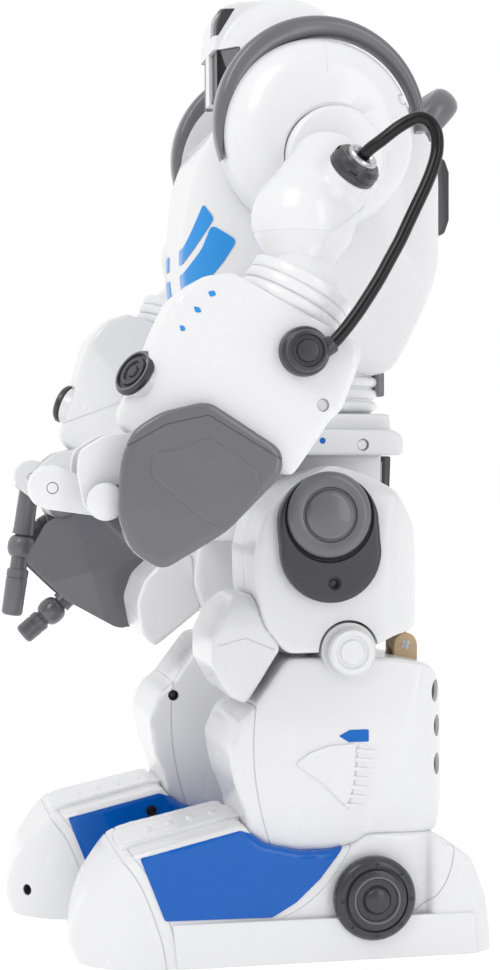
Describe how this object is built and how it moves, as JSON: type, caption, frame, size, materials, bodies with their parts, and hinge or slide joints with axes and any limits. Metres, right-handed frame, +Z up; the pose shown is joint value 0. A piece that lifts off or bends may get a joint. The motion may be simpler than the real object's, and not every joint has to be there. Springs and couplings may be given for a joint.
{
  "type": "walking robot toy",
  "caption": "Walking humanoid toy robot in mid-stride with domed shoulders, gauntlet arms with hoses, jointed hands and big flat feet.",
  "frame": {"origin": "on the floor, under the middle of the robot's overall box", "axes": "+Z up, -Y the way the robot faces, +X its left side"},
  "size_m": [0.274, 0.1972, 0.407],
  "materials": {
    "white_plastic": "gloss",
    "grey_plastic": "gloss",
    "dark_plastic": "satin",
    "black_gloss": "gloss",
    "hose_rubber": "satin",
    "blue_panel": "gloss",
    "steel": "satin",
    "tan_plastic": "satin",
    "board_green": "matte",
    "battery_wrap": "satin"
  },
  "bodies": {
    "body": {"chest_front": "white_plastic", "torso_back": "white_plastic", "back_strip": "dark_plastic", "left_pauldron": "white_plastic", "right_pauldron": "white_plastic", "shoulder_arches": "grey_plastic", "carry_handle": "grey_plastic", "abdomen": "white_plastic", "pelvis": "white_plastic", "pelvis_rear_plate": "dark_plastic", "battery_pack": "battery_wrap", "circuit_board": "board_green", "gearbox": "dark_plastic", "hip_axle": "steel", "body_screws": "steel"},
    "head": {"helmet": "white_plastic", "visor": "black_gloss", "forehead_inset": "dark_plastic", "neck_post": "dark_plastic"},
    "switch": {"power_switch": "dark_plastic"},
    "left_upper_arm": {"left_upper_arm": "white_plastic", "left_upper_plug": "grey_plastic", "left_hose": "hose_rubber"},
    "left_forearm": {"left_forearm": "white_plastic", "left_lower_plug": "dark_plastic", "left_forearm_disc": "dark_plastic"},
    "left_hand": {"left_palm": "white_plastic"},
    "left_guard": {"left_hand_guard": "grey_plastic"},
    "left_finger_front": {"left_finger_front": "grey_plastic"},
    "left_finger_rear": {"left_finger_rear": "grey_plastic"},
    "right_upper_arm": {"right_upper_arm": "white_plastic", "right_upper_plug": "grey_plastic", "right_hose": "hose_rubber"},
    "right_forearm": {"right_forearm": "white_plastic", "right_lower_plug": "dark_plastic", "right_forearm_disc": "dark_plastic"},
    "right_hand": {"right_palm": "white_plastic"},
    "right_guard": {"right_hand_guard": "grey_plastic"},
    "right_finger_front": {"right_finger_front": "grey_plastic"},
    "right_finger_rear": {"right_finger_rear": "grey_plastic"},
    "left_thigh": {"left_thigh_shell": "white_plastic", "left_hip_plate": "dark_plastic", "left_knee_guard": "white_plastic"},
    "left_link": {"left_link_rod": "tan_plastic"},
    "left_shin": {"left_knee_pin": "white_plastic", "left_shin_shell": "white_plastic", "left_foot_shell": "white_plastic", "left_foot_panel": "blue_panel", "left_ankle_knob": "dark_plastic"},
    "right_thigh": {"right_thigh_shell": "white_plastic", "right_hip_plate": "dark_plastic", "right_knee_guard": "white_plastic"},
    "right_link": {"right_link_rod": "tan_plastic"},
    "right_shin": {"right_knee_pin": "white_plastic", "right_shin_shell": "white_plastic", "right_foot_shell": "white_plastic", "right_foot_panel": "blue_panel", "right_ankle_knob": "dark_plastic"}
  },
  "joints": [
    {"name": "head_turn", "type": "hinge", "parent": "body", "child": "head", "pos_m": [0, 0.02119, 0.36], "axis": [0, 0, 1], "range_deg": [-40, 40]},
    {"name": "power_slide", "type": "slide", "parent": "body", "child": "switch", "axis": [0, 0, 1], "range_m": [0, 0.0025]},
    {"name": "left_shoulder", "type": "hinge", "parent": "body", "child": "left_upper_arm", "pos_m": [0.071, 0.02819, 0.326], "axis": [1, 0, 0], "range_deg": [-80, 20]},
    {"name": "left_elbow", "type": "hinge", "parent": "left_upper_arm", "child": "left_forearm", "pos_m": [0.106, 0.00519, 0.268], "axis": [1, 0, 0], "range_deg": [0, 20], "deforming": ["left_hose"]},
    {"name": "left_wrist", "type": "hinge", "parent": "left_forearm", "child": "left_hand", "pos_m": [0.106, -0.07181, 0.188], "axis": [1, 0, 0], "range_deg": [-45, 0]},
    {"name": "left_guard_swing", "type": "hinge", "parent": "left_forearm", "child": "left_guard", "pos_m": [0.106, -0.07181, 0.188], "axis": [1, 0, 0], "range_deg": [-84, 0]},
    {"name": "left_front_finger", "type": "hinge", "parent": "left_hand", "child": "left_finger_front", "pos_m": [0.104, -0.09001, 0.1929], "axis": [1, 0, 0], "range_deg": [-65, 0]},
    {"name": "left_rear_finger", "type": "hinge", "parent": "left_guard", "child": "left_finger_rear", "pos_m": [0.1176, -0.02781, 0.186], "axis": [1, 0, 0], "range_deg": [0, 90]},
    {"name": "right_shoulder", "type": "hinge", "parent": "body", "child": "right_upper_arm", "pos_m": [-0.071, 0.02819, 0.326], "axis": [1, 0, 0], "range_deg": [-70, 40]},
    {"name": "right_elbow", "type": "hinge", "parent": "right_upper_arm", "child": "right_forearm", "pos_m": [-0.106, -0.00453, 0.27287], "axis": [1, 0, 0], "range_deg": [-20, 0], "deforming": ["right_hose"]},
    {"name": "right_wrist", "type": "hinge", "parent": "right_forearm", "child": "right_hand", "pos_m": [-0.106, -0.06647, 0.18072], "axis": [1, 0, 0], "range_deg": [-5, 30]},
    {"name": "right_guard_swing", "type": "hinge", "parent": "right_forearm", "child": "right_guard", "pos_m": [-0.106, -0.06647, 0.18072], "axis": [1, 0, 0], "range_deg": [0, 84]},
    {"name": "right_front_finger", "type": "hinge", "parent": "right_hand", "child": "right_finger_front", "pos_m": [-0.104, -0.07978, 0.19406], "axis": [1, 0, 0], "range_deg": [0, 65]},
    {"name": "right_rear_finger", "type": "hinge", "parent": "right_guard", "child": "right_finger_rear", "pos_m": [-0.1176, -0.05627, 0.13787], "axis": [1, 0, 0], "range_deg": [-90, 0]},
    {"name": "left_hip", "type": "hinge", "parent": "body", "child": "left_thigh", "pos_m": [0.044, 0.02519, 0.183], "axis": [1, 0, 0], "range_deg": [-20, 1]},
    {"name": "left_knee", "type": "hinge", "parent": "left_thigh", "child": "left_shin", "pos_m": [0.044, 0.03488, 0.1251], "axis": [1, 0, 0], "range_deg": [-1, 20]},
    {"name": "left_link_turn", "type": "hinge", "parent": "body", "child": "left_link", "pos_m": [0.044, 0.05519, 0.183], "axis": [1, 0, 0], "range_deg": [-20, 1]},
    {"name": "right_hip", "type": "hinge", "parent": "body", "child": "right_thigh", "pos_m": [-0.044, 0.02519, 0.183], "axis": [1, 0, 0], "range_deg": [-1, 20]},
    {"name": "right_knee", "type": "hinge", "parent": "right_thigh", "child": "right_shin", "pos_m": [-0.044, 0.0155, 0.1251], "axis": [1, 0, 0], "range_deg": [-20, 1]},
    {"name": "right_link_turn", "type": "hinge", "parent": "body", "child": "right_link", "pos_m": [-0.044, 0.05519, 0.183], "axis": [1, 0, 0], "range_deg": [-1, 20]}
  ],
  "couplings": [
    {"joint": "left_knee", "follows": "left_hip", "ratio": -1},
    {"joint": "right_hip", "follows": "left_hip", "ratio": -1},
    {"joint": "right_knee", "follows": "left_hip", "ratio": 1},
    {"joint": "left_link_turn", "follows": "left_hip", "ratio": 1},
    {"joint": "right_link_turn", "follows": "left_hip", "ratio": -1}
  ]
}
